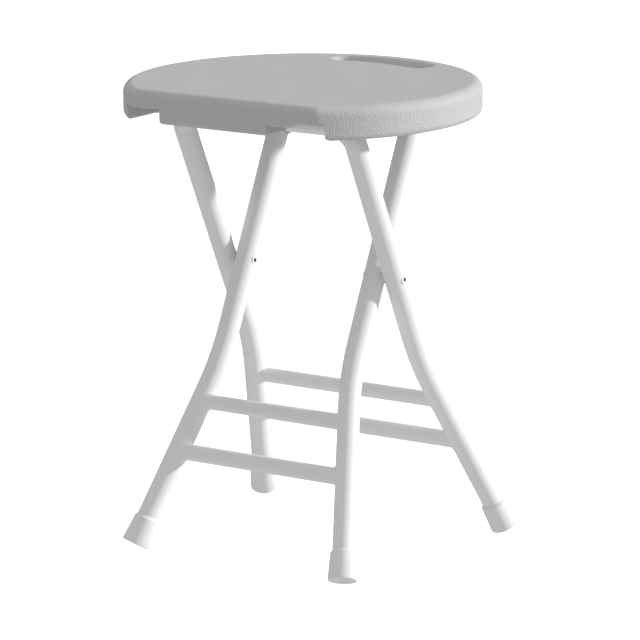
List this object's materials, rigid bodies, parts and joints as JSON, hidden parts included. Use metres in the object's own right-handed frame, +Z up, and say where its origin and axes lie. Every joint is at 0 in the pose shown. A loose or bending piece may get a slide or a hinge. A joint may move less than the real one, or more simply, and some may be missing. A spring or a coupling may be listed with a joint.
{
  "type": "folding shower stool",
  "caption": "Round plastic seat with one flat side and a handle slot, on two crossed, pivoted tubular leg frames with stretchers and tapered foot caps; it folds flat.",
  "frame": {"origin": "centre of the footprint box, on the floor", "axes": "+Z up, +X along the pivot rivets, +Y from the flat side of the seat towards the handle slot"},
  "size_m": [0.336, 0.3006, 0.447],
  "materials": {
    "seat": "fine moulded grain, light grey",
    "frame": "semi-gloss white powder coat",
    "foot": "soft matt white",
    "rivet": "white paint on the head, bare dark bore",
    "washer": "pale nylon",
    "strap": "zinc-plated strip",
    "clip": "natural nylon",
    "screw": "zinc-plated"
  },
  "bodies": {
    "outer_frame": {"outer_leg_tube": "frame", "outer_upper_stretcher": "frame", "outer_lower_stretcher": "frame", "back_left_foot_cap": "foot", "back_right_foot_cap": "foot", "pivot_rivet_left": "rivet", "pivot_rivet_right": "rivet", "pivot_washer_left": "washer", "pivot_washer_right": "washer"},
    "inner_frame": {"inner_leg_tube": "frame", "inner_upper_stretcher": "frame", "inner_lower_stretcher": "frame", "front_left_foot_cap": "foot", "front_right_foot_cap": "foot"},
    "seat": {"seat_shell": "seat", "hinge_strap_left": "strap", "hinge_strap_right": "strap", "latch_clip_left": "clip", "latch_clip_right": "clip", "hinge_strap_screws": "screw", "latch_clip_screws": "screw"}
  },
  "joints": [
    {"name": "frame_fold", "type": "hinge", "parent": "outer_frame", "child": "inner_frame", "pos_m": [0, -0.00875, 0.26595], "axis": [1, 0, 0], "range_deg": [0, 42.5]},
    {"name": "seat_fold", "type": "hinge", "parent": "outer_frame", "child": "seat", "pos_m": [0, -0.08211, 0.41975], "axis": [1, 0, 0], "range_deg": [0, 115.5]}
  ],
  "couplings": [
    {"joint": "seat_fold", "follows": "frame_fold", "ratio": 2.7176}
  ]
}
